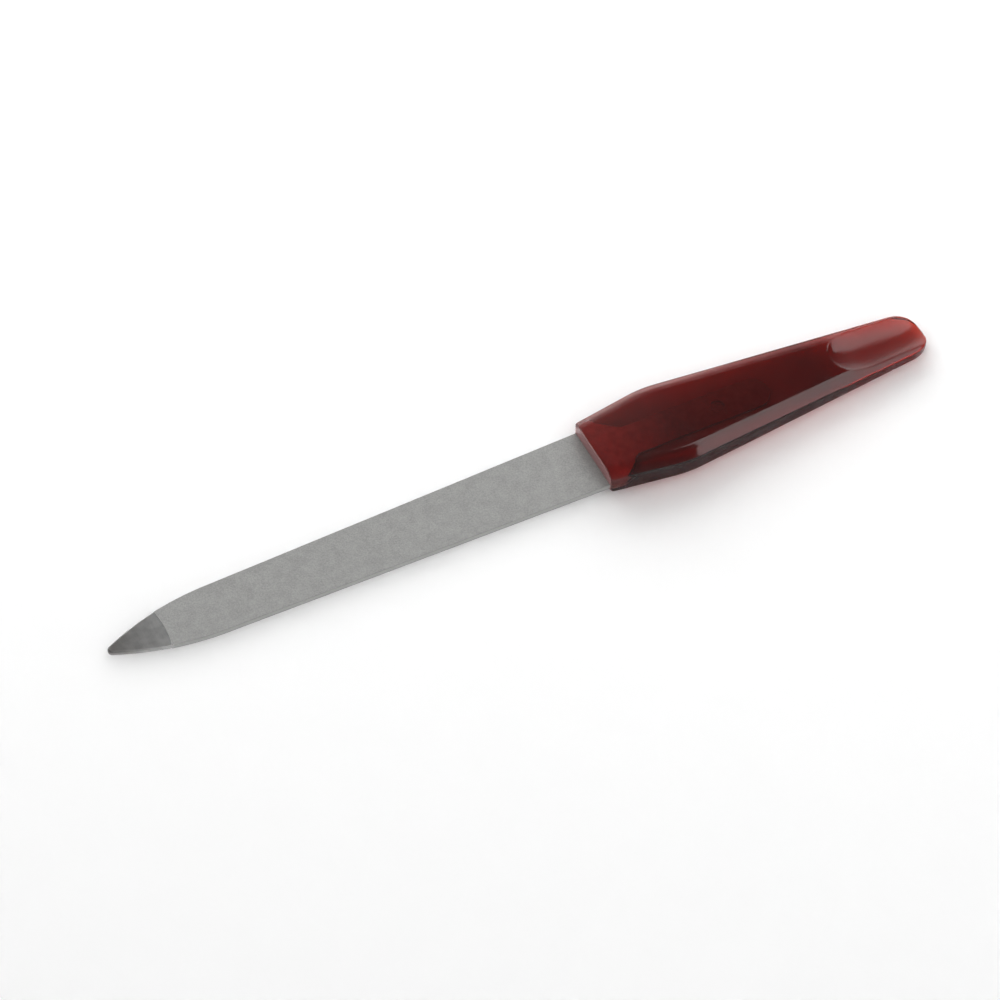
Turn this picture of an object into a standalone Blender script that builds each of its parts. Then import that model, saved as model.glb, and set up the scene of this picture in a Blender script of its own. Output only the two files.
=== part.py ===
# Nail file: a steel blade, coated with grit on both faces, whose tang is moulded into a clear red handle.
# Metres, +Z up, +X from the blade's tip to the handle's end, Z zero on the handle's flat underside.
import math

import bmesh
import bpy
import numpy as np

# Blade
blade_length = 0.0898            # tip to the handle's front face
blade_tip_width = 0.00994        # where the pointed tip begins
blade_handle_width = 0.0127      # where the blade enters the handle
blank_thickness = 0.0008
blank_edge_chamfer = 0.00006
tip_length = 0.0205              # length of the pointed tip
tip_nose_radius = 0.0008
tip_bevel = 0.00045              # ground along the bare tip's upper edge, running out at the coat

# Tang, measured from the handle's front face
tang_shoulder_depth = 0.0028     # the blade keeps its full width this far in
tang_neck_length = 0.0042
tang_width = 0.0064
tang_length = 0.0340
key_hole_diameter = 0.0026
key_hole_setback = 0.0100        # from the tang's end

# Grit coats
coat_thickness = 0.0001
coat_bond_gap = 0.00002
coat_edge_margin = 0.00015       # bare steel left along the blade's edges
bare_tip_length = 0.0098
coat_front_bow = 0.0004          # how far the coat's front line bends back in the middle
coat_depth_in_handle = 0.0012

# Handle, measured from its front face
handle_length = 0.0648
handle_mouth_wall = 0.00065      # plastic beside the blade at the front face
handle_shoulder_distance = 0.01375
handle_shoulder_flare = 0.0021   # how much wider each side is there than at the front face
handle_shoulder_blend = 0.0026
handle_end_width = 0.00858
handle_floor = 0.00031           # plastic under the blade
handle_front_cover = 0.00283     # plastic over the blade at the front face
handle_shoulder_cover = 0.00264  # the same height at the handle's widest place
handle_end_thickness = 0.00208
handle_end_edge_thickness = 0.00068
handle_end_rise = 0.0003         # how far the underside lifts at the end
handle_flat_length = 0.0252      # flat part of the underside
handle_flank_width = 0.0020      # width of the slope along each side of the top
handle_underside_edge_radius = 0.00025
handle_front_corner_radius = 0.0006
handle_front_edge_radius = 0.00035
handle_end_round_length = 0.0045
handle_end_fall_length = 0.0042  # the top rolls down to a thin edge over this length
tang_clearance = 0.00002

# Thumb scoop in the handle's end, and the mark where the mould's gate was cut off
scoop_length = 0.0184
scoop_width = 0.0075
scoop_start_depth = 0.0008
scoop_end_depth = 0.0010
scoop_rim_rise = 0.0006          # the scoop's axis lies this far above the surface, so its rim is crisp
gate_mark_distance = 0.0086      # from the handle's end
gate_mark_radius = 0.0004
gate_mark_depth = 0.00018
gate_mark_height = 0.0006

cutter_overrun = 0.002
weld_distance = 0.000005

# Shape values without a unit
flat_normal = 0.999              # a face is level above this
ground_edge_degrees = 60.0       # the blank's outline edges turn by more than this
smooth_degrees = 35.0            # the handle's faces shade into each other below this
flank_drop_share = 0.26          # height of the side slope, of the local thickness
flank_round_share = 0.4          # how far the slope's upper edge is rounded, of its width
flank_limit_share = 0.6          # the slope takes at most this much of the half width
end_round_power = 2.4
end_flat_width_share = 0.12      # flat part of the end face, of the handle's width there
round_limit_share = 0.9          # the lower edge's round takes at most this much of the wall
nose_steps = 8
tip_arc_steps = 18
tang_end_steps = 10
coat_front_steps = 10
corner_steps = 5
blend_steps = 8
straight_steps = 6
end_steps = 12
flank_steps = 9
edge_steps = 3
hole_segments = 32
scoop_segments = 48

# Finishes: linear colour, roughness, metallic, transmission
steel_finish = ((0.33, 0.33, 0.32), 0.38, 1.0, 0.0)
grit_finish = ((0.26, 0.26, 0.25), 0.85, 0.0, 0.0)
plastic_finish = ((0.17, 0.012, 0.010), 0.12, 0.0, 0.6)

# Derived places, X from the middle of the file
tip_x = -(blade_length + handle_length) / 2
front_x = tip_x + blade_length
key_hole_x = front_x + tang_length - key_hole_setback
coat_reach = coat_bond_gap + coat_thickness + tang_clearance
blank_low = handle_floor + coat_reach
blank_high = blank_low + blank_thickness
front_height = blank_high + coat_reach + handle_front_cover
shoulder_height = blank_high + coat_reach + handle_shoulder_cover


def remove_everything():
    for item in list(bpy.data.objects):
        bpy.data.objects.remove(item, do_unlink=True)


def new_collection(name):
    collection = bpy.data.collections.new(name)
    bpy.context.scene.collection.children.link(collection)
    return collection


def new_material(name, finish):
    color, roughness, metallic, transmission = finish
    material = bpy.data.materials.new(name)
    material.use_nodes = True
    shader = material.node_tree.nodes["Principled BSDF"]
    shader.inputs["Base Color"].default_value = (*color, 1.0)
    shader.inputs["Roughness"].default_value = roughness
    shader.inputs["Metallic"].default_value = metallic
    shader.inputs["Transmission Weight"].default_value = transmission
    material.diffuse_color = (*color, 1.0)
    return material


def place(item, collection, material=None):
    for owner in list(item.users_collection):
        owner.objects.unlink(item)
    collection.objects.link(item)
    if material is not None:
        item.data.materials.append(material)
    return item


def hide_as_cutter(item, collection):
    place(item, collection)
    item.hide_render = True
    item.display_type = "WIRE"
    return item


def cut(target, cutter):
    modifier = target.modifiers.new(cutter.name, "BOOLEAN")
    modifier.operation = "DIFFERENCE"
    modifier.solver = "EXACT"
    modifier.object = cutter


def object_from_bmesh(name, work):
    mesh = bpy.data.meshes.new(name)
    work.to_mesh(mesh)
    work.free()
    return bpy.data.objects.new(name, mesh)


# A flat plate from one half of its outline, which runs from the axis to the axis at positive Y
def flat_plate(name, half_outline, low, high):
    mirrored = [(x, -y) for x, y in reversed(half_outline) if y > 0]
    outline = half_outline + mirrored
    curve = bpy.data.curves.new(name + "_outline", "CURVE")
    curve.dimensions = "2D"
    curve.fill_mode = "BOTH"
    curve.extrude = (high - low) / 2
    spline = curve.splines.new("POLY")
    spline.points.add(len(outline) - 1)
    for point, (x, y) in zip(spline.points, outline):
        point.co = (x, y, 0.0, 1.0)
    spline.use_cyclic_u = True
    guide = bpy.data.objects.new(name + "_outline", curve)
    guide.location.z = (low + high) / 2
    bpy.context.scene.collection.objects.link(guide)
    bpy.context.view_layer.update()
    evaluated = guide.evaluated_get(bpy.context.evaluated_depsgraph_get())
    mesh = bpy.data.meshes.new_from_object(evaluated)
    mesh.name = name
    work = bmesh.new()
    work.from_mesh(mesh)
    bmesh.ops.remove_doubles(work, verts=work.verts, dist=weld_distance)
    bmesh.ops.recalc_face_normals(work, faces=work.faces)
    inner = [edge for edge in work.edges if all(abs(face.normal.z) > flat_normal for face in edge.link_faces)]
    bmesh.ops.dissolve_edges(work, edges=inner)
    work.to_mesh(mesh)
    work.free()
    plate = bpy.data.objects.new(name, mesh)
    plate.matrix_world = guide.matrix_world
    bpy.data.objects.remove(guide, do_unlink=True)
    return plate


def upright_cylinder(name, radius, x, y, low, high):
    work = bmesh.new()
    bmesh.ops.create_cone(work, cap_ends=True, segments=hole_segments,
                          radius1=radius, radius2=radius, depth=high - low)
    pin = object_from_bmesh(name, work)
    pin.location = (x, y, (low + high) / 2)
    return pin


# Half width of the straight part of the blade, X from the tip
def blade_side(x):
    slope = (blade_handle_width - blade_tip_width) / 2 / (blade_length - tip_length)
    return blade_tip_width / 2 + slope * (x - tip_length)


# The tip's side is an arc that touches the nose circle and ends level with the blade's side
def tip_side_radius():
    half = blade_tip_width / 2
    run = tip_length - tip_nose_radius
    return (run ** 2 + half ** 2 - tip_nose_radius ** 2) / (2 * (half - tip_nose_radius))


def tip_side(x):
    radius = tip_side_radius()
    return blade_tip_width / 2 - radius + math.sqrt(radius ** 2 - (tip_length - x) ** 2)


def blade_half_width(x):
    return tip_side(x) if x < tip_length else blade_side(x)


# Half outline of the pointed tip, X from the tip
def tip_half_outline():
    radius = tip_side_radius()
    turn = math.atan2(radius - blade_tip_width / 2, tip_length - tip_nose_radius)
    nose = []
    for step in range(nose_steps + 1):
        angle = turn * step / nose_steps
        nose.append((tip_nose_radius - tip_nose_radius * math.cos(angle), tip_nose_radius * math.sin(angle)))
    touch_x = nose[-1][0]
    side = []
    for x in np.linspace(touch_x, tip_length, tip_arc_steps + 1)[1:]:
        side.append((float(x), tip_side(float(x))))
    return nose + side


# Half outline of the tang, X from the handle's front face, grown on all sides
def tang_half_outline(grow):
    half = tang_width / 2 + grow
    shoulder_half = blade_side(blade_length + tang_shoulder_depth) + grow
    neck_end = tang_shoulder_depth + tang_neck_length
    outline = [(tang_shoulder_depth + grow, shoulder_half), (neck_end + grow, half)]
    round_start = tang_length - tang_width / 2
    for step in range(tang_end_steps + 1):
        angle = math.pi / 2 * step / tang_end_steps
        outline.append((round_start + half * math.sin(angle), half * math.cos(angle)))
    outline[-1] = (tang_length + grow, 0.0)
    return outline


def shifted(points, distance):
    return [(x + distance, y) for x, y in points]


# The blank's edges are broken all round, and the bare tip's upper edge is ground wider towards its nose
def grind_edges(blank):
    work = bmesh.new()
    work.from_mesh(blank.data)
    weights = work.edges.layers.float.new("bevel_weight_edge")
    broken = blank_edge_chamfer / tip_bevel
    for edge in work.edges:
        low, high = edge.verts
        level = abs(low.co.z - high.co.z) < blank_thickness / 2
        if not level or edge.calc_face_angle() < math.radians(ground_edge_degrees):
            continue
        middle = (low.co.x + high.co.x) / 2 - tip_x
        edge[weights] = broken
        if low.co.z > 0 and middle < bare_tip_length:
            edge[weights] += (1 - broken) * (1 - middle / bare_tip_length)
    work.to_mesh(blank.data)
    work.free()
    bevel = blank.modifiers.new("ground_edges", "BEVEL")
    bevel.width = tip_bevel
    bevel.segments = 1
    bevel.limit_method = "WEIGHT"


def make_blank(parts, cutters, material):
    outline = shifted(tip_half_outline(), tip_x) + shifted(tang_half_outline(0.0), front_x)
    blank = flat_plate("steel_blank", outline, blank_low, blank_high)
    place(blank, parts, material)
    hole = upright_cylinder("key_hole_cutter", key_hole_diameter / 2, key_hole_x, 0.0,
                            blank_low - cutter_overrun, blank_high + cutter_overrun)
    hide_as_cutter(hole, cutters)
    cut(blank, hole)
    grind_edges(blank)


# Half outline of a coat, X from the blade's tip, grown on its sides and its rear end
def coat_half_outline(grow):
    front_half = blade_half_width(bare_tip_length) - coat_edge_margin + grow
    outline = []
    for step in range(coat_front_steps + 1):
        share = step / coat_front_steps
        outline.append((bare_tip_length + coat_front_bow * (1 - share ** 2), front_half * share))
    if bare_tip_length < tip_length:
        for x in np.linspace(bare_tip_length, tip_length, tip_arc_steps // 2 + 1)[1:]:
            outline.append((float(x), blade_half_width(float(x)) - coat_edge_margin + grow))
    rear = blade_length + coat_depth_in_handle + grow
    rear_half = blade_side(rear) - coat_edge_margin + grow
    outline.append((rear, rear_half))
    outline.append((rear, 0.0))
    return outline


def make_coats(parts, material):
    outline = shifted(coat_half_outline(0.0), tip_x)
    top_low = blank_high + coat_bond_gap
    bottom_high = blank_low - coat_bond_gap
    top = flat_plate("grit_coat_top", outline, top_low, top_low + coat_thickness)
    bottom = flat_plate("grit_coat_bottom", outline, bottom_high - coat_thickness, bottom_high)
    place(top, parts, material)
    place(bottom, parts, material)


# Two straight lines that meet at a corner, joined by a parabola
def blended_corner(x, corner, value, slope_before, slope_after, blend):
    away = x - corner
    if away < -blend:
        return value + slope_before * away
    if away > blend:
        return value + slope_after * away
    return value + slope_before * away + (slope_after - slope_before) * (away + blend) ** 2 / (4 * blend)


def front_and_rear_slopes(front, shoulder, end):
    before = (shoulder - front) / handle_shoulder_distance
    after = (end - shoulder) / (handle_length - handle_shoulder_distance)
    return before, after


def handle_half_width(x):
    front = blade_handle_width / 2 + handle_mouth_wall
    shoulder = front + handle_shoulder_flare
    before, after = front_and_rear_slopes(front, shoulder, handle_end_width / 2)
    return blended_corner(x, handle_shoulder_distance, shoulder, before, after, handle_shoulder_blend)


def handle_underside(x):
    run = handle_length - handle_flat_length
    return handle_end_rise * max(0.0, x - handle_flat_length) / run


def handle_top(x):
    end = handle_end_rise + handle_end_thickness
    before, after = front_and_rear_slopes(front_height, shoulder_height, end)
    return blended_corner(x, handle_shoulder_distance, shoulder_height, before, after, handle_shoulder_blend)


# How far an oval quarter round falls at this distance from its face
def quarter_round(distance, length, height):
    if distance >= length:
        return 0.0
    away = 1 - distance / length
    return height * (1 - math.sqrt(max(0.0, 1 - away ** 2)))


# Width of the handle's rounded end, as a share of its straight width, and the place of that width
def end_round_stations():
    last_angle = math.acos(end_flat_width_share ** (end_round_power / 2))
    reach = math.sin(last_angle) ** (2 / end_round_power)
    stations = []
    for step in range(end_steps + 1):
        angle = last_angle * step / end_steps
        along = math.sin(angle) ** (2 / end_round_power) / reach
        across = math.cos(angle) ** (2 / end_round_power)
        stations.append((handle_length - handle_end_round_length * (1 - along), across))
    return stations


def handle_stations():
    corner = min(handle_front_corner_radius, handle_mouth_wall - tang_clearance)
    places = []
    for step in range(corner_steps + 1):
        angle = math.pi / 2 * step / corner_steps
        places.append((corner * (1 - math.cos(angle)), corner * (1 - math.sin(angle)), 1.0))
    blend_start = handle_shoulder_distance - handle_shoulder_blend
    blend_end = handle_shoulder_distance + handle_shoulder_blend
    for x in np.linspace(blend_start, blend_end, blend_steps + 1):
        places.append((float(x), 0.0, 1.0))
    rounds = end_round_stations()
    for x in np.linspace(handle_flat_length, rounds[0][0], straight_steps + 1)[:-1]:
        places.append((float(x), 0.0, 1.0))
    for x, share in rounds:
        places.append((x, 0.0, share))
    return sorted(places)


# A corner between two straight runs, rounded over a share of both
def rounded_corner(before, corner, after, share):
    points = []
    for step in range(flank_steps + 1):
        along = step / flank_steps
        pull = share * (1 - along) ** 2
        push = share * along ** 2
        points.append(tuple(c + (b - c) * pull + (a - c) * push for b, c, a in zip(before, corner, after)))
    return points


# Ring of points across the handle, from the middle of the underside round to the middle of the top and back
def handle_section(x, inset, share):
    half = handle_half_width(x) - inset
    low = handle_underside(x)
    high = handle_top(x) - quarter_round(x, handle_front_edge_radius, handle_front_edge_radius)
    end_fall = handle_end_thickness - handle_end_edge_thickness
    high -= quarter_round(handle_length - x, handle_end_fall_length, end_fall)
    foot = high - (high - low) * flank_drop_share
    flank = min(handle_flank_width, half * flank_limit_share)
    edge = min(handle_underside_edge_radius, (foot - low) * round_limit_share)
    side = []
    for step in range(edge_steps + 1):
        angle = math.pi / 2 * step / edge_steps
        side.append((half - edge + edge * math.sin(angle), low + edge - edge * math.cos(angle)))
    side.append((half, foot))
    side += rounded_corner((half, foot), (half - flank, high), (half - 2 * flank, high), flank_round_share)
    right = [(x, y * share, z) for y, z in side]
    left = [(x, -y * share, z) for y, z in reversed(side)]
    return [(x, 0.0, low)] + right + [(x, 0.0, high)] + left


# The handle's body is a loft through unlike sections, closed by its front and end faces
def handle_body():
    work = bmesh.new()
    rings = []
    for x, inset, share in handle_stations():
        rings.append([work.verts.new((front_x + px, py, pz)) for px, py, pz in handle_section(x, inset, share)])
    count = len(rings[0])
    for ring, following in zip(rings, rings[1:]):
        for index in range(count):
            after = (index + 1) % count
            work.faces.new((ring[index], ring[after], following[after], following[index]))
    work.faces.new(rings[0])
    work.faces.new(rings[-1])
    bmesh.ops.recalc_face_normals(work, faces=work.faces)
    return object_from_bmesh("handle", work)


# The pocket that the tang and the coats' rear ends fill
def make_pocket_cutters(cutters):
    mouth_x = front_x - cutter_overrun
    blade_half = blade_side(blade_length) + tang_clearance
    outline = [(mouth_x, 0.0), (mouth_x, blade_half), (front_x, blade_half)]
    outline += shifted(tang_half_outline(tang_clearance), front_x)
    tang = flat_plate("tang_pocket_cutter", outline, blank_low - tang_clearance, blank_high + tang_clearance)
    hide_as_cutter(tang, cutters)
    plug = upright_cylinder("key_plug_cutter", key_hole_diameter / 2 - tang_clearance, key_hole_x, 0.0,
                            blank_low - cutter_overrun, blank_high + cutter_overrun)
    hide_as_cutter(plug, cutters)
    cut(tang, plug)
    rear = coat_half_outline(tang_clearance)[-2]
    rear_x = tip_x + rear[0]
    mouth = [(mouth_x, 0.0), (mouth_x, rear[1]), (rear_x, rear[1]), (rear_x, 0.0)]
    coats = flat_plate("coat_pocket_cutter", mouth, blank_low - coat_reach, blank_high + coat_reach)
    hide_as_cutter(coats, cutters)
    return [tang, coats]


# A long capsule with oval section, sunk in the top at the handle's end
def make_scoop_cutter(cutters):
    depth = (scoop_start_depth + scoop_end_depth) / 2
    half_height = depth + scoop_rim_rise
    half_width = scoop_width / 2 / math.sqrt(1 - (scoop_rim_rise / half_height) ** 2)
    work = bmesh.new()
    bmesh.ops.create_uvsphere(work, u_segments=scoop_segments, v_segments=scoop_segments // 2, radius=1.0)
    bmesh.ops.scale(work, vec=(half_width, half_width, half_height), verts=work.verts)
    tail = [vert for vert in work.verts if vert.co.x > weld_distance]
    bmesh.ops.translate(work, vec=(scoop_length + cutter_overrun, 0.0, 0.0), verts=tail)
    scoop = object_from_bmesh("scoop_cutter", work)
    start = handle_length - scoop_length + scoop_width / 2
    fall = (handle_top(start) - handle_top(handle_length)) + (scoop_end_depth - scoop_start_depth)
    slope = math.atan2(fall, handle_length - start)
    lift = handle_top(start) - scoop_start_depth + half_height
    scoop.location = (front_x + start, 0.0, lift)
    scoop.rotation_euler = (0.0, slope, 0.0)
    return hide_as_cutter(scoop, cutters)


def make_gate_cutter(cutters):
    x = handle_length - gate_mark_distance
    y = -(handle_half_width(x) - gate_mark_depth + gate_mark_radius)
    low = handle_underside(x)
    gate = upright_cylinder("gate_mark_cutter", gate_mark_radius, front_x + x, y,
                            low - cutter_overrun, low + gate_mark_height)
    return hide_as_cutter(gate, cutters)


def make_handle(parts, cutters, material):
    handle = handle_body()
    place(handle, parts, material)
    cut(handle, make_scoop_cutter(cutters))
    for pocket in make_pocket_cutters(cutters):
        cut(handle, pocket)
    cut(handle, make_gate_cutter(cutters))
    handle.data.shade_smooth()
    handle.data.set_sharp_from_angle(angle=math.radians(smooth_degrees))


def main():
    remove_everything()
    parts = new_collection("nail_file")
    cutters = new_collection("cutters")
    make_blank(parts, cutters, new_material("ground_steel", steel_finish))
    make_coats(parts, new_material("grit_coat", grit_finish))
    make_handle(parts, cutters, new_material("red_plastic", plastic_finish))


main()
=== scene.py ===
import math

import bmesh
import bpy
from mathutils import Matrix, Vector


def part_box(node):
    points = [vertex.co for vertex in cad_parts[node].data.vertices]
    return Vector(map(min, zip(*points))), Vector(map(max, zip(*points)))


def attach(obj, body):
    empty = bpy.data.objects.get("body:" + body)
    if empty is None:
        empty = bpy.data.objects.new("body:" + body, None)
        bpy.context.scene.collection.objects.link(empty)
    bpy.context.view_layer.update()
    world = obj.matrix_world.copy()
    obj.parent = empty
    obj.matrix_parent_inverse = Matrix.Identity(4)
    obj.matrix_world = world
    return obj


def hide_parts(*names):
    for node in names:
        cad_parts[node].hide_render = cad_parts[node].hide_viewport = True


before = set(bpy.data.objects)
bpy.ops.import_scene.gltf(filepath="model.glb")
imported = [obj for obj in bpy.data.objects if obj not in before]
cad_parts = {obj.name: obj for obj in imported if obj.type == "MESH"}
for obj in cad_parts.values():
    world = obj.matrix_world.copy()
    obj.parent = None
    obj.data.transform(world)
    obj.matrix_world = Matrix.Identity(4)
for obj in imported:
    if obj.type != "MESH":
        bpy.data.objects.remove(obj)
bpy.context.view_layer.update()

# Nail file on a white table: a grit coated steel blade in a clear red handle.
# Metres. X runs from the blade's tip to the handle's end, Z is up, the table is just below Z zero.

blankLow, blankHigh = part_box("steel_blank")
handleLow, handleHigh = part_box("handle")
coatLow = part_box("grit_coat_top")[0]
mm = 0.001


# Selection by place, and the few tools that every piece uses

def deselectAll():
    for item in bpy.context.selected_objects:
        item.select_set(False)


def startPiece(name):
    piece = bpy.context.active_object
    piece.name = name
    bpy.ops.object.transform_apply(location=True, rotation=True, scale=True)
    return piece


def pick(piece, kind, test):
    bpy.ops.mesh.select_mode(type=kind)
    bpy.ops.mesh.select_all(action="DESELECT")
    work = bmesh.from_edit_mesh(piece.data)
    for part in work.edges if kind == "EDGE" else work.faces:
        if test(part):
            part.select_set(True)
    bmesh.update_edit_mesh(piece.data)


def bisectAt(x):
    bpy.ops.mesh.select_all(action="SELECT")
    bpy.ops.mesh.bisect(plane_co=(x, 0, 0), plane_no=(1, 0, 0))


def cutWith(piece, cutter):
    cut = piece.modifiers.new("cut", "BOOLEAN")
    cut.operation = "DIFFERENCE"
    cut.solver = "EXACT"
    cut.object = cutter
    bpy.context.view_layer.objects.active = piece
    bpy.ops.object.modifier_apply(modifier=cut.name)
    bpy.data.objects.remove(cutter, do_unlink=True)


def smoothPiece(piece, degrees):
    deselectAll()
    piece.select_set(True)
    bpy.context.view_layer.objects.active = piece
    bpy.ops.object.shade_smooth_by_angle(angle=math.radians(degrees))


# Handle: sizes are measured from its front face

handleShape = {
    "length": handleHigh.x - handleLow.x,
    "frontHalfWidth": 7.0 * mm,
    "shoulderAt": 13.75 * mm,
    "shoulderHalfWidth": 9.1 * mm,
    "shoulderBlend": 2.6 * mm,
    "endHalfWidth": 4.29 * mm,
    "frontTop": 4.22 * mm,
    "shoulderTop": 4.03 * mm,
    "endTop": 2.38 * mm,
    "endRise": 0.3 * mm,
    "flatLength": 25.2 * mm,
    "flankWidth": 2.0 * mm,
    "flankDropShare": 0.26,
    "flankTopRoundShare": 0.45,
    "flankFootRoundShare": 0.15,
    "footRound": 0.25 * mm,
    "frontCorner": 0.6 * mm,
    "frontRound": 0.35 * mm,
    "endRoundLength": 4.5 * mm,
    "endRoundPower": 2.3,
    "endFlatShare": 0.04,
    "endFallLength": 4.2 * mm,
    "endEdge": 0.68 * mm,
    "stationStep": 1.0 * mm,
    "fineStep": 0.15 * mm,
    "frontCornerSteps": 6,
    "endRoundSteps": 20,
    "flankCuts": 8,
    "flankFootSegments": 5,
    "flankTopSegments": 10,
    "footSegments": 4,
    "pocketBite": 0.02 * mm,
    "mergeDistance": 0.001 * mm,
    "smoothAngle": 35,
}
scoopShape = {
    "start": 46.4 * mm,
    "noseLength": 5.0 * mm,
    "noseMargin": 1.9 * mm,
    "sideMargin": 0.25 * mm,
    "marginLength": 6.8 * mm,
    "power": 2.2,
    "startDepth": 0.8 * mm,
    "endDepth": 1.0 * mm,
    "wallShare": 0.84,
    "rimRound": 0.03 * mm,
}
gateMark = {
    "fromEnd": 8.6 * mm,
    "radius": 0.4 * mm,
    "depth": 0.18 * mm,
    "height": 0.6 * mm,
    "sides": 32,
}


def blendedCorner(x, corner, value, slopeBefore, slopeAfter, blend):
    away = x - corner
    if away < -blend:
        return value + slopeBefore * away
    if away > blend:
        return value + slopeAfter * away
    return value + slopeBefore * away + (slopeAfter - slopeBefore) * (away + blend) ** 2 / (4 * blend)


def alongHandle(x, front, shoulder, end):
    s = handleShape
    before = (shoulder - front) / s["shoulderAt"]
    after = (end - shoulder) / (s["length"] - s["shoulderAt"])
    return blendedCorner(x, s["shoulderAt"], shoulder, before, after, s["shoulderBlend"])


def halfWidthAt(x):
    s = handleShape
    return alongHandle(x, s["frontHalfWidth"], s["shoulderHalfWidth"], s["endHalfWidth"])


def undersideAt(x):
    s = handleShape
    return s["endRise"] * max(0.0, x - s["flatLength"]) / (s["length"] - s["flatLength"])


def topAt(x):
    s = handleShape
    return alongHandle(x, s["frontTop"], s["shoulderTop"], s["endTop"])


# How far an oval quarter round falls at this distance from its face
def quarterRound(distance, length, height):
    away = max(0.0, 1 - distance / length)
    return height * (1 - math.sqrt(max(0.0, 1 - away ** 2)))


def endFall(x):
    s = handleShape
    drop = s["endTop"] - s["endRise"] - s["endEdge"]
    front = quarterRound(x, s["frontRound"], s["frontRound"])
    return front + quarterRound(s["length"] - x, s["endFallLength"], drop)


# Height of the scoop's bowl, whose outline starts blunt and then follows the handle's sides
def scoopAt(x, y):
    s = scoopShape
    into = min(1.0, max(0.0, (x - s["start"]) / s["marginLength"]))
    half = halfWidthAt(x) - s["noseMargin"] - (s["sideMargin"] - s["noseMargin"]) * into
    ahead = max(0.0, (s["start"] + s["noseLength"] - x) / s["noseLength"])
    out = ((abs(y) / half) ** s["power"] + ahead ** s["power"]) ** (1 / s["power"])
    flat = math.sqrt(1 - s["wallShare"])
    rise = (1 - math.sqrt(max(0.0, 1 - s["wallShare"] * out ** 2))) / (1 - flat)
    along = (x - s["start"]) / (handleShape["length"] - s["start"])
    depth = s["startDepth"] + (s["endDepth"] - s["startDepth"]) * along
    if out > 1:
        rise += out - 1
    return topAt(x) - depth + depth * rise


def softMinimum(a, b, radius):
    return (a + b) / 2 - math.sqrt(((a - b) / 2) ** 2 + radius ** 2)


# The end's plan is a rounded square; each station has its place and its share of the straight width
def endStations():
    s = handleShape
    power = s["endRoundPower"]
    last = math.acos(s["endFlatShare"] ** (power / 2))
    reach = math.sin(last) ** (2 / power)
    stations = []
    for step in range(s["endRoundSteps"] + 1):
        angle = last * step / s["endRoundSteps"]
        along = math.sin(angle) ** (2 / power) / reach
        across = math.cos(angle) ** (2 / power)
        stations.append((s["length"] - s["endRoundLength"] * (1 - along), across))
    return stations


def handleStations():
    s = handleShape
    rounds = endStations()
    steps = s["frontCornerSteps"]
    angles = [math.pi / 2 * step / steps for step in range(steps + 1)]
    places = [(s["frontCorner"] * (1 - math.cos(angle)), 1.0) for angle in angles]
    x = s["stationStep"]
    while x < rounds[0][0] - s["fineStep"] / 2:
        places.append((x, 1.0))
        coarse = x < scoopShape["start"] - s["stationStep"]
        x += s["stationStep"] if coarse else s["fineStep"]
    return places + rounds


def isLong(edge):
    return abs(edge.verts[0].co.x - edge.verts[1].co.x) > handleShape["length"] / 2


def isAbove(face, x, z):
    middle = face.calc_center_median()
    return middle.z > z and middle.x > x


def bevelLongEdges(piece, low, high, offset, segments):
    pick(piece, "EDGE", lambda e: isLong(e) and all(low <= v.co.z <= high for v in e.verts))
    bpy.ops.mesh.bevel(offset=offset, segments=segments, profile=0.5, affect="EDGES")


# A bar with flat flanks is cut into stations, and each station is then widened, thinned and lifted
def makeHandleBody():
    s = handleShape
    frontX = handleLow.x
    bar = max(s["frontTop"], s["shoulderTop"])
    drop = bar * s["flankDropShare"]
    tiny = drop / 100
    flatHalf = s["frontHalfWidth"] - drop
    bpy.ops.mesh.primitive_cube_add(size=1, location=(frontX + s["length"] / 2, 0, bar / 2))
    bpy.context.active_object.scale = (s["length"], 2 * s["frontHalfWidth"], bar)
    handle = startPiece("redHandle")
    bpy.ops.object.mode_set(mode="EDIT")
    bevelLongEdges(handle, bar - tiny, bar + tiny, drop, 1)
    foot = bar - drop
    rounds = [
        (foot, drop * s["flankFootRoundShare"], s["flankFootSegments"]),
        (bar, drop * s["flankTopRoundShare"], s["flankTopSegments"]),
        (0.0, s["footRound"], s["footSegments"]),
    ]
    for z, radius, segments in rounds:
        bevelLongEdges(handle, z - tiny, z + tiny, radius, segments)
    places = handleStations()
    for x, share in places[1:-1]:
        bisectAt(frontX + x)
    scoopX = frontX + scoopShape["start"] - s["stationStep"]
    rows = round(flatHalf / s["fineStep"])
    lines = [flatHalf * row / rows for row in range(-rows, rows + 1)]
    cuts = s["flankCuts"]
    lines += [side * (flatHalf + drop * step / cuts) for step in range(1, cuts) for side in (-1, 1)]
    for y in lines:
        pick(handle, "FACE", lambda face: isAbove(face, scoopX, bar / 2))
        bpy.ops.mesh.bisect(plane_co=(0, y, 0), plane_no=(0, 1, 0))
    bpy.ops.object.mode_set(mode="OBJECT")
    for vert in handle.data.vertices:
        x, share = min(places, key=lambda place: abs(frontX + place[0] - vert.co.x))
        upper = vert.co.z > bar / 2
        half = halfWidthAt(x) - quarterRound(x, s["frontCorner"], s["frontCorner"])
        edge = s["flankWidth"] if upper else s["footRound"]
        barEdge = drop if upper else s["footRound"]
        flat = s["frontHalfWidth"] - barEdge
        y = abs(vert.co.y)
        if y <= flat:
            y *= (half - edge) / flat
        else:
            y = half - (s["frontHalfWidth"] - y) * edge / barEdge
        low = undersideAt(x)
        vert.co.y = math.copysign(y * share, vert.co.y)
        vert.co.z = low + (topAt(x) - low) * vert.co.z / bar
        if upper and x > scoopShape["start"] - s["stationStep"]:
            vert.co.z = softMinimum(vert.co.z, scoopAt(x, vert.co.y), scoopShape["rimRound"])
        if upper:
            high = topAt(x)
            vert.co.z = low + (vert.co.z - low) * (high - endFall(x) - low) / (high - low)
    return handle


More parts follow.
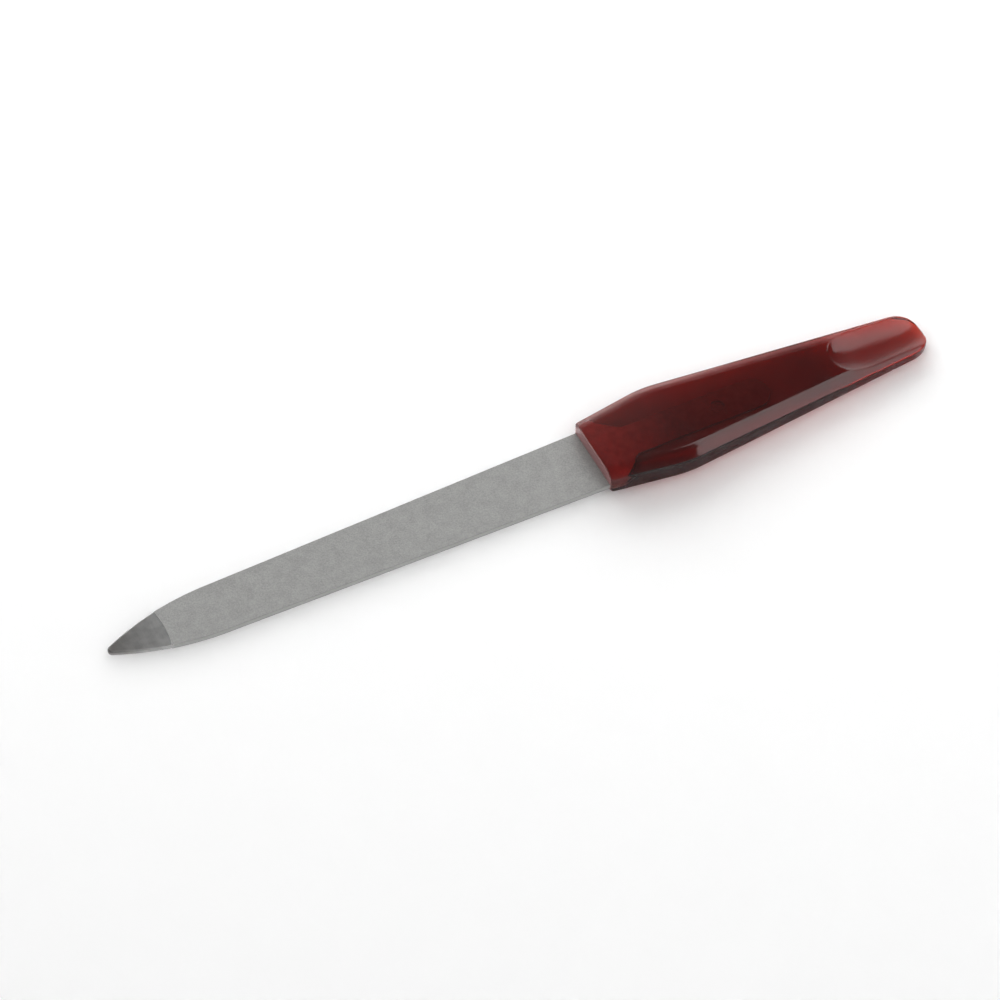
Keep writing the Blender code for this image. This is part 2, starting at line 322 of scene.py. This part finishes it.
# The tang's pocket is a little tight, as plastic that shrank onto it is; the coats have no pocket
def cutPocket(handle, node):
    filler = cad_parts[node].copy()
    filler.data = filler.data.copy()
    bpy.context.scene.collection.objects.link(filler)
    deselectAll()
    filler.select_set(True)
    bpy.context.view_layer.objects.active = filler
    bpy.ops.object.mode_set(mode="EDIT")
    bpy.ops.mesh.select_all(action="SELECT")
    bpy.ops.mesh.remove_doubles(threshold=handleShape["mergeDistance"])
    bpy.ops.transform.shrink_fatten(value=-handleShape["pocketBite"])
    bpy.ops.object.mode_set(mode="OBJECT")
    cutWith(handle, filler)


# A small round notch low in the near side
def cutGateMark(handle):
    g = gateMark
    x = handleShape["length"] - g["fromEnd"]
    y = -(halfWidthAt(x) - g["depth"] + g["radius"])
    bpy.ops.mesh.primitive_cylinder_add(vertices=g["sides"], radius=g["radius"], depth=2 * g["height"],
                                        location=(handleLow.x + x, y, undersideAt(x)))
    cutWith(handle, startPiece("gateCutter"))


deselectAll()
handle = makeHandleBody()
cutPocket(handle, "steel_blank")
cutGateMark(handle)
smoothPiece(handle, handleShape["smoothAngle"])
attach(handle, "root")
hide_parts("handle")
print("handle modelled", len(handle.data.polygons), "faces")


# Grit: a sheet of grains, coarse ones first and fine ones between them, with its edge turned down

gritLayer = {
    "coarseGrain": 0.33 * mm,
    "fineCuts": 2,
    "coarseHeight": 0.008 * mm,
    "fineHeight": 0.010 * mm,
    "faceDepth": 0.04 * mm,
    "edgeMargin": 0.03 * mm,
    "frontBow": 0.4 * mm,
    "lap": 0.1 * mm,
    "seeds": {"grit_coat_top": 3, "grit_coat_bottom": 8},
}
bladeShape = {
    "tipWidth": 9.94 * mm,
    "handleWidth": 12.7 * mm,
    "tipLength": 20.5 * mm,
    "noseRadius": 0.8 * mm,
    "length": handleLow.x - blankLow.x,
}


def bladeHalfWidth(x):
    b = bladeShape
    half = b["tipWidth"] / 2
    if x >= b["tipLength"]:
        along = (x - b["tipLength"]) / (b["length"] - b["tipLength"])
        return half + (b["handleWidth"] / 2 - half) * along
    run = b["tipLength"] - b["noseRadius"]
    radius = (run ** 2 + half ** 2 - b["noseRadius"] ** 2) / (2 * (half - b["noseRadius"]))
    return half - radius + math.sqrt(radius ** 2 - (b["tipLength"] - x) ** 2)


def makeGritCoat(name, node):
    g = gritLayer
    low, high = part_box(node)
    columns = round((high.x - low.x) / g["coarseGrain"])
    rows = round((high.y - low.y) / g["coarseGrain"])
    bpy.ops.mesh.primitive_grid_add(x_subdivisions=columns, y_subdivisions=rows, size=2)
    coat = startPiece(name)
    faceZ = high.z - g["faceDepth"]
    for vert in coat.data.vertices:
        along, across = (vert.co.x + 1) / 2, vert.co.y
        front = low.x + g["frontBow"] * (1 - across ** 2)
        x = front + (handleLow.x + g["lap"] - front) * along
        vert.co = (x, across * (bladeHalfWidth(x - blankLow.x) - g["edgeMargin"]), faceZ)
    bpy.ops.object.mode_set(mode="EDIT")
    bpy.ops.mesh.select_all(action="SELECT")
    seed = g["seeds"][node]
    bpy.ops.transform.vertex_random(offset=g["coarseHeight"], uniform=0.0, normal=1.0, seed=seed)
    bpy.ops.mesh.subdivide(number_cuts=g["fineCuts"])
    bpy.ops.transform.vertex_random(offset=g["fineHeight"], uniform=0.0, normal=1.0, seed=seed + 1)
    bpy.ops.mesh.select_mode(type="EDGE")
    bpy.ops.mesh.select_all(action="SELECT")
    bpy.ops.mesh.region_to_loop()
    bpy.ops.mesh.extrude_edges_move(TRANSFORM_OT_translate={"value": (0, 0, low.z - faceZ)})
    bpy.ops.transform.resize(value=(1, 1, 0), center_override=(0, 0, low.z))
    bpy.ops.mesh.edge_face_add()
    bpy.ops.object.mode_set(mode="OBJECT")
    if node == "grit_coat_bottom":
        for vert in coat.data.vertices:
            vert.co.z = low.z + high.z - vert.co.z
        coat.data.flip_normals()
    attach(coat, "root")
    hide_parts(node)
    return coat


deselectAll()
gritTop = makeGritCoat("gritTop", "grit_coat_top")
deselectAll()
gritBottom = makeGritCoat("gritBottom", "grit_coat_bottom")
print("grit modelled", len(gritTop.data.polygons), "faces a side")


# Shader nodes; a value may be a number or another node's output

def addNode(tree, kind, values, inputs):
    node = tree.nodes.new(kind)
    for name, value in values.items():
        setattr(node, name, value)
    for name, value in inputs.items():
        if isinstance(value, bpy.types.NodeSocket):
            tree.links.new(value, node.inputs[name])
        else:
            node.inputs[name].default_value = value
    return node


def addPlace(tree, axis):
    place = tree.nodes.new("ShaderNodeTexCoord").outputs["Object"]
    return addNode(tree, "ShaderNodeSeparateXYZ", {}, {0: place}).outputs[axis]


def addNoise(tree, facts):
    place = tree.nodes.new("ShaderNodeTexCoord").outputs["Object"]
    mapped = addNode(tree, "ShaderNodeMapping", {}, {"Vector": place, "Scale": facts["stretch"]})
    inputs = {"Vector": mapped.outputs[0], "Scale": 1 / facts["size"], "Detail": facts["detail"]}
    return addNode(tree, "ShaderNodeTexNoise", {}, inputs).outputs[0]


def addRange(tree, value, fromRange, toRange):
    inputs = {"Value": value, "From Min": fromRange[0], "From Max": fromRange[1],
              "To Min": toRange[0], "To Max": toRange[1]}
    return addNode(tree, "ShaderNodeMapRange", {}, inputs).outputs[0]


def addMath(tree, operation, first, second):
    return addNode(tree, "ShaderNodeMath", {"operation": operation}, {0: first, 1: second}).outputs[0]


def addScaled(tree, color, factor):
    inputs = {0: color, "Scale": factor}
    return addNode(tree, "ShaderNodeVectorMath", {"operation": "SCALE"}, inputs).outputs[0]


def addMix(tree, share, first, second):
    inputs = {0: share, 6: first, 7: second}
    return addNode(tree, "ShaderNodeMix", {"data_type": "RGBA"}, inputs).outputs[2]


def addRamp(tree, value, colors):
    ramp = addNode(tree, "ShaderNodeValToRGB", {}, {0: value})
    elements = ramp.color_ramp.elements
    for index, (place, color) in enumerate(colors):
        element = elements[index] if index < 2 else elements.new(place)
        element.position = place
        element.color = (*color, 1)
    return ramp.outputs[0]


# Camera: the photograph's view

shot = {
    "target": (-5.46 * mm, -0.53 * mm, 0.85 * mm),
    "towards": (-0.2781, -0.5536, 0.7850),
    "distance": 700 * mm,
    "lens": 149.0,
    "sensor": 36.0,
    "clip": (10 * mm, 20.0),
}


def makeCamera():
    data = bpy.data.cameras.new("photoCamera")
    data.lens = shot["lens"]
    data.sensor_width = shot["sensor"]
    data.clip_start, data.clip_end = shot["clip"]
    camera = bpy.data.objects.new("photoCamera", data)
    bpy.context.scene.collection.objects.link(camera)
    back = Vector(shot["towards"]).normalized()
    camera.location = Vector(shot["target"]) + back * shot["distance"]
    camera.rotation_euler = (-back).to_track_quat("-Z", "Y").to_euler()
    bpy.context.scene.camera = camera


# Studio: azimuths are seen from the camera, which stands at -90 degrees

studio = {
    "cameraTurn": 26.67,
    "floorSize": 4.0,
    "floorColor": (0.99, 0.99, 0.99),
    "floorBlur": 10 * mm,
    "floorDrop": 0.02 * mm,
    "skyTurn": -60,
    "skyTurnRange": (0.35, 0.9),
    "skyBehind": 0.12,
    "skyCameraSide": 0.9,
    "skyHorizon": 0.65,
    "skyHorizonRange": (4, 20),
    "panel": {
        "corner": (0.115, 0.73),
        "height": 1.0,
        "turn": 32.0,
        "size": (0.85, 1.35),
        "level": 1.95,
    },
    "lamps": {
        "lowLamp": {"azimuth": 103, "elevation": 22, "distance": 1.2, "size": (1.8, 0.6), "level": 3.4},
        "lowFill": {"azimuth": 103, "elevation": 15, "distance": 1.2, "size": (1.8, 0.4), "level": 8.4},
        "topLamp": {"azimuth": 90, "elevation": 75, "distance": 1.0, "size": (1.0, 1.0), "level": 0.6},
    },
    "glow": {
        "offset": (-5.4 * mm, -3 * mm, 7 * mm),
        "size": (44 * mm, 8 * mm),
        "level": 0.32,
        "color": (1, 0.1, 0.08),
    },
}


def towards(azimuth, elevation):
    a = math.radians(azimuth - studio["cameraTurn"])
    e = math.radians(elevation)
    return Vector((math.cos(a) * math.cos(e), math.sin(a) * math.cos(e), math.sin(e)))


# A lamp's level is the brightness that a mirror would show
def makeLamp(name, facts, location, turn, mirrored):
    data = bpy.data.lights.new(name, "AREA")
    data.shape = "RECTANGLE"
    data.size, data.size_y = facts["size"]
    data.energy = facts["level"] * math.pi * data.size * data.size_y
    lamp = bpy.data.objects.new(name, data)
    bpy.context.scene.collection.objects.link(lamp)
    lamp.location = location
    lamp.rotation_euler = turn
    lamp.visible_glossy = mirrored
    return lamp


# A panel overhead, seen from one of its corners; its edges draw the handle's highlights
def makePanel():
    facts = studio["panel"]
    wide = towards(facts["turn"], 0)
    deep = towards(facts["turn"] - 90, 0)
    aside, back = facts["corner"]
    corner = towards(0, 0) * aside + towards(90, 0) * back
    middle = corner + wide * facts["size"][0] / 2 + deep * facts["size"][1] / 2
    middle.z = facts["height"]
    turn = (0, 0, math.radians(facts["turn"] - studio["cameraTurn"]))
    makeLamp("panel", facts, middle, turn, True)


# Lamps that leave no mirror image; only the handle stops the light of the low fill
def makeSoftLamps():
    blockers = bpy.data.collections.new("fillBlockers")
    blockers.objects.link(handle)
    for name, facts in studio["lamps"].items():
        away = towards(facts["azimuth"], facts["elevation"])
        turn = away.to_track_quat("Z", "Y").to_euler()
        lamp = makeLamp(name, facts, away * facts["distance"], turn, False)
        if name == "lowFill":
            lamp.light_linking.blocker_collection = blockers


# Stands for the red light that the handle lets through to the table
def makeGlow(floor):
    facts = studio["glow"]
    onlyFloor = bpy.data.collections.new("glowReceiver")
    onlyFloor.objects.link(floor)
    middle = Vector(((handleLow.x + handleHigh.x) / 2, 0, 0)) + Vector(facts["offset"])
    lamp = makeLamp("redGlow", facts, middle, (0, 0, 0), False)
    lamp.data.color = facts["color"]
    lamp.visible_transmission = False
    lamp.light_linking.receiver_collection = onlyFloor
    lamp.light_linking.blocker_collection = onlyFloor


# The table is a little translucent, so the thin blade's shadow stays soft
def makeFloor():
    bpy.ops.mesh.primitive_plane_add(size=studio["floorSize"], location=(0, 0, -studio["floorDrop"]))
    floor = bpy.context.active_object
    floor.name = "floor"
    material = bpy.data.materials.new("paleTable")
    material.use_nodes = True
    shader = material.node_tree.nodes["Principled BSDF"]
    shader.subsurface_method = "BURLEY"
    shader.inputs["Base Color"].default_value = (*studio["floorColor"], 1)
    shader.inputs["Roughness"].default_value = 1.0
    shader.inputs["Specular IOR Level"].default_value = 0.0
    shader.inputs["Subsurface Weight"].default_value = 1.0
    shader.inputs["Subsurface Radius"].default_value = (1.0, 1.0, 1.0)
    shader.inputs["Subsurface Scale"].default_value = studio["floorBlur"]
    floor.data.materials.append(material)
    return floor


# The sky is white to the camera, pale near the horizon and dim above it, most of all behind the file
def makeSky():
    world = bpy.data.worlds.new("studio")
    bpy.context.scene.world = world
    world.use_nodes = True
    tree = world.node_tree
    direction = tree.nodes.new("ShaderNodeTexCoord").outputs["Generated"]
    inputs = {0: direction, 1: towards(studio["skyTurn"], 0)}
    facing = addNode(tree, "ShaderNodeVectorMath", {"operation": "DOT_PRODUCT"}, inputs).outputs["Value"]
    upper = addRange(tree, facing, studio["skyTurnRange"], (studio["skyBehind"], studio["skyCameraSide"]))
    height = addNode(tree, "ShaderNodeSeparateXYZ", {}, {0: direction}).outputs["Z"]
    heights = [math.sin(math.radians(angle)) for angle in studio["skyHorizonRange"]]
    dim = addRange(tree, height, heights, (studio["skyHorizon"], upper))
    seen = tree.nodes.new("ShaderNodeLightPath").outputs["Is Camera Ray"]
    strength = addNode(tree, "ShaderNodeMix", {}, {"Factor": seen, "A": dim, "B": 1.0})
    tree.links.new(strength.outputs[0], tree.nodes["Background"].inputs["Strength"])
    tree.nodes["Background"].inputs["Color"].default_value = (1, 1, 1, 1)


# Finishes

def newFinish(name):
    material = bpy.data.materials.new(name)
    material.use_nodes = True
    tree = material.node_tree
    return material, tree, tree.nodes["Principled BSDF"]


def dress(piece, material):
    piece.data.materials.clear()
    piece.data.materials.append(material)


redPlastic = {
    # The red is the plastic's own; lighter at the front and darkest before the scoop is painted light and
    # shade
    "litAndShadedTints": [
        (0.0, (1.0, 0.44, 0.40)),
        (0.2, (1.0, 0.28, 0.26)),
        (0.3, (0.97, 0.16, 0.14)),
        (0.45, (0.82, 0.12, 0.10)),
        (0.66, (0.54, 0.11, 0.10)),
        (0.78, (0.90, 0.15, 0.12)),
        (1.0, (0.93, 0.19, 0.12)),
    ],
    "sideSpread": 7 * mm,
    # Painted shade: the tint darkens towards the near side
    "nearSideShadeShares": (0.72, 1.0),
    # Painted light: less clear towards the far side, so more of its lit surface shows there
    "farSideLightClearShares": (0.978, 0.953),
    "frontColor": (0.50, 0.26, 0.26),
    "frontDepth": 0.12 * mm,
    "frontClearShare": 0.25,
    "frontRoughness": 0.35,
    "ior": 1.52,
    "haze": {"stretch": (1, 1, 1), "size": 3 * mm, "detail": 3.0},
    "hazeRange": (0.35, 0.65),
    "roughness": (0.05, 0.09),
    "scoopRoughness": 0.165,
    "scoopBefore": 1 * mm,
    "scoopAfter": 3 * mm,
    "absorbDensity": 1650.0,
    "absorbColor": (0.797, 0.23, 0.08),
}


# Clear plastic. Its red is the plastic's own, but the tint is painted lighter at the front, darkest
# before the scoop and darker towards the near side as painted light and shade, and it is less clear
# towards the far side as painted light; frosted on its front face and rubbed matt in the scoop
def makeRedPlastic():
    p = redPlastic
    material, tree, shader = newFinish("redPlastic")
    x = addPlace(tree, "X")
    y = addPlace(tree, "Y")
    front = addRange(tree, x, (handleLow.x, handleLow.x + p["frontDepth"]), (1.0, 0.0))
    along = addRange(tree, x, (handleLow.x, handleHigh.x), (0.0, 1.0))
    sides = (-p["sideSpread"], p["sideSpread"])
    # Painted light and shade in the tint: along the handle, and darker towards the near side
    litAndShadedTint = addScaled(tree, addRamp(tree, along, p["litAndShadedTints"]), addRange(tree, y, sides, p["nearSideShadeShares"]))
    tree.links.new(addMix(tree, front, litAndShadedTint, (*p["frontColor"], 1)), shader.inputs["Base Color"])
    # Painted light: less clear towards the far side
    farSideLightClear = addRange(tree, y, sides, p["farSideLightClearShares"])
    clear = addRange(tree, front, (0.0, 1.0), (farSideLightClear, p["frontClearShare"]))
    tree.links.new(clear, shader.inputs["Transmission Weight"])
    shader.inputs["IOR"].default_value = p["ior"]
    polished = addRange(tree, addNoise(tree, p["haze"]), p["hazeRange"], p["roughness"])
    frosted = addRange(tree, front, (0.0, 1.0), (0.0, p["frontRoughness"]))
    scoopX = handleLow.x + scoopShape["start"]
    scoopRange = (scoopX - p["scoopBefore"], scoopX + p["scoopAfter"])
    rubbed = addRange(tree, x, scoopRange, (0.0, p["scoopRoughness"]))
    matt = addMath(tree, "MAXIMUM", addMath(tree, "MAXIMUM", polished, frosted), rubbed)
    tree.links.new(matt, shader.inputs["Roughness"])
    inputs = {"Color": (*p["absorbColor"], 1), "Density": p["absorbDensity"]}
    absorb = addNode(tree, "ShaderNodeVolumeAbsorption", {}, inputs)
    tree.links.new(absorb.outputs[0], tree.nodes["Material Output"].inputs["Volume"])
    return material


groundSteel = {
    # Darker towards the nose is painted shade on the bare tip
    "colors": [
        (0.0, (0.56, 0.54, 0.52)),
        (0.03, (0.72, 0.71, 0.70)),
        (0.07, (0.96, 0.96, 0.95)),
        (0.575, (0.96, 0.96, 0.95)),
        (0.582, (0.94, 0.92, 0.92)),
        (0.60, (0.94, 0.92, 0.92)),
        (0.68, (0.18, 0.16, 0.16)),
    ],
    "strokes": {"stretch": (1, 0.08, 1), "size": 0.12 * mm, "detail": 4.0},
    "strokeRange": (0.3, 0.7),
    "strokeShares": (0.97, 1.03),
    "strokeHeight": 0.004 * mm,
    "smudges": {"stretch": (1, 1, 1), "size": 1.6 * mm, "detail": 3.0},
    "smudgeRange": (0.35, 0.65),
    "smudgeShares": (0.90, 1.10),
    "roughness": (0.46, 0.38),
    # Painted shade: below the top face, on the tip's bevel and side faces, the steel is darker
    "bevelShadeShare": 0.55,
    "bevelShadeDepth": 0.05 * mm,
    "coatedEdge": (0.42, 0.42, 0.41),
    "coatedRoughness": 0.8,
}


# Ground steel, dark inside the handle; darker towards the nose and below its top face as painted shade;
# between tip and handle its side faces look like the coats
def makeSteel():
    s = groundSteel
    material, tree, shader = newFinish("groundSteel")
    x = addPlace(tree, "X")
    along = addRange(tree, x, (blankLow.x, handleHigh.x), (0.0, 1.0))
    strokes = addNoise(tree, s["strokes"])
    lines = addRange(tree, strokes, s["strokeRange"], s["strokeShares"])
    smudges = addRange(tree, addNoise(tree, s["smudges"]), s["smudgeRange"], s["smudgeShares"])
    # Painted shade that dims the reflection of the bevel and side faces below the top face
    bevelShadeRange = (blankHigh.z - s["bevelShadeDepth"], blankHigh.z)
    bevel = addRange(tree, addPlace(tree, "Z"), bevelShadeRange, (s["bevelShadeShare"], 1.0))
    shade = addMath(tree, "MULTIPLY", addMath(tree, "MULTIPLY", lines, smudges), bevel)
    bare = addScaled(tree, addRamp(tree, along, s["colors"]), shade)
    coatFront = coatLow.x + gritLayer["frontBow"]
    begins = addRange(tree, x, (coatFront, coatFront + gritLayer["edgeMargin"]), (0.0, 1.0))
    ends = addRange(tree, x, (handleLow.x, handleLow.x + gritLayer["edgeMargin"]), (1.0, 0.0))
    coated = addMath(tree, "MULTIPLY", begins, ends)
    tree.links.new(addMix(tree, coated, bare, (*s["coatedEdge"], 1)), shader.inputs["Base Color"])
    tree.links.new(addRange(tree, coated, (0.0, 1.0), (1.0, 0.0)), shader.inputs["Metallic"])
    ground = addRange(tree, strokes, s["strokeRange"], s["roughness"])
    gritty = addRange(tree, coated, (0.0, 1.0), (0.0, s["coatedRoughness"]))
    tree.links.new(addMath(tree, "MAXIMUM", ground, gritty), shader.inputs["Roughness"])
    bump = addNode(tree, "ShaderNodeBump", {}, {"Height": strokes, "Distance": s["strokeHeight"]})
    tree.links.new(bump.outputs[0], shader.inputs["Normal"])
    return material


bondedGrit = {
    "grains": {"stretch": (1, 1, 1), "size": 0.28 * mm, "detail": 2.0},
    "grainRange": (0.3, 0.7),
    "colors": [(0.3, (0.28, 0.28, 0.275)), (0.7, (0.34, 0.34, 0.33))],
    "clouds": {"stretch": (1, 1, 1), "size": 1.8 * mm, "detail": 2.0},
    "cloudRange": (0.35, 0.65),
    "cloudShares": (0.95, 1.05),
    "roughness": (0.9, 0.6),
}


def makeGrit():
    g = bondedGrit
    material, tree, shader = newFinish("grit")
    grains = addNoise(tree, g["grains"])
    clouds = addRange(tree, addNoise(tree, g["clouds"]), g["cloudRange"], g["cloudShares"])
    color = addScaled(tree, addRamp(tree, grains, g["colors"]), clouds)
    tree.links.new(color, shader.inputs["Base Color"])
    tree.links.new(addRange(tree, grains, g["grainRange"], g["roughness"]), shader.inputs["Roughness"])
    return material


steel = makeSteel()
grit = makeGrit()
dress(handle, makeRedPlastic())
dress(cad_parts["steel_blank"], steel)
dress(gritTop, grit)
dress(gritBottom, grit)
makeGlow(makeFloor())
makeSky()
makePanel()
makeSoftLamps()
makeCamera()
bpy.context.scene.view_settings.view_transform = "Standard"
